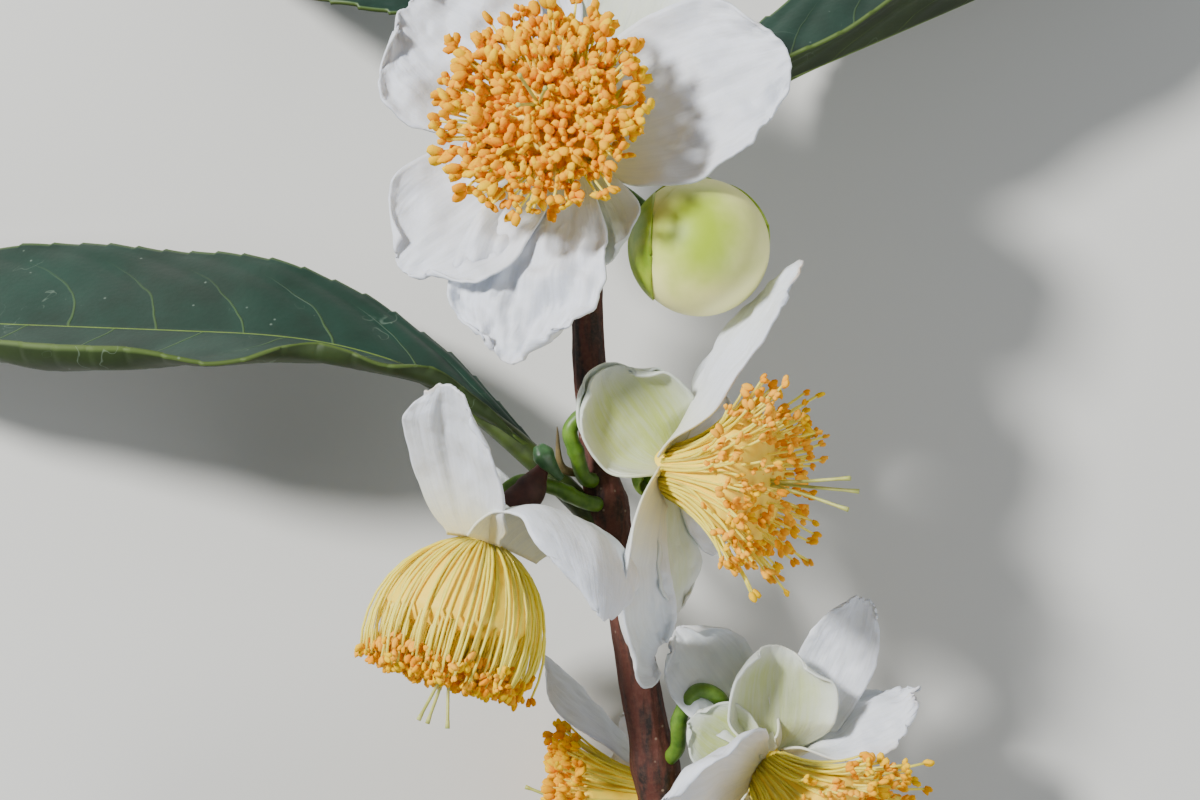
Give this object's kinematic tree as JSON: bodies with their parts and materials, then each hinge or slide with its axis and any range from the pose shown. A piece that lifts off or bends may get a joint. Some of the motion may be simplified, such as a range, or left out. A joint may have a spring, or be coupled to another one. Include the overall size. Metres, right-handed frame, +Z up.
{
  "type": "tea sprig",
  "caption": "Flowering sprig of tea as cut: a slim bowed stem with glossy leaves, open white flowers with golden stamens and a round bud, lying flat.",
  "frame": {"origin": "centre of the sprig's bounding box at its lowest point, on the surface that it lies on", "axes": "+Z up out of that surface, the sprig's thickness; +Y along the stem from its cut end to its tip; +X across the stem toward the leaf on the upper right, the longest side of the box"},
  "size_m": [0.1612, 0.131, 0.0416],
  "materials": {
    "bark": "young reddish brown bark with grey-brown lengthwise patches and small lenticels, satin",
    "leaf": "deep green leathery leaf, glossy above and lighter green below",
    "young_green": "fresh yellow-green flower stalks, sepals and young buds, satin",
    "petal": "creamy white petal, thin and a little translucent, greenish at its foot",
    "stamen": "golden anthers on pale yellow threads, matte",
    "bud": "cream closed petals with green flushes, satin",
    "dry_bract": "dry dark red-brown scale, matte"
  },
  "bodies": {
    "root": {"stem": "bark", "leaf_left": "leaf", "leaf_upper_right": "leaf", "leaf_lower_left": "leaf", "leaf_upper_left": "leaf", "bloom_top_petals": "petal", "bloom_top_stamens": "stamen", "bloom_top_calyx": "young_green", "bloom_side_petals": "petal", "bloom_side_stamens": "stamen", "bloom_side_calyx": "young_green", "bloom_hanging_petals": "petal", "bloom_hanging_stamens": "stamen", "bloom_hanging_calyx": "young_green", "bloom_lower_petals": "petal", "bloom_lower_stamens": "stamen", "bloom_lower_calyx": "young_green", "bloom_shaded_petals": "petal", "bloom_shaded_stamens": "stamen", "bloom_shaded_calyx": "young_green", "bud_petals": "bud", "bud_calyx": "young_green", "bract_pointed": "dry_bract", "bract_flared": "dry_bract", "bud_axillary": "young_green", "bud_tip": "young_green", "scale_leaf": "young_green"}
  },
  "joints": []
}
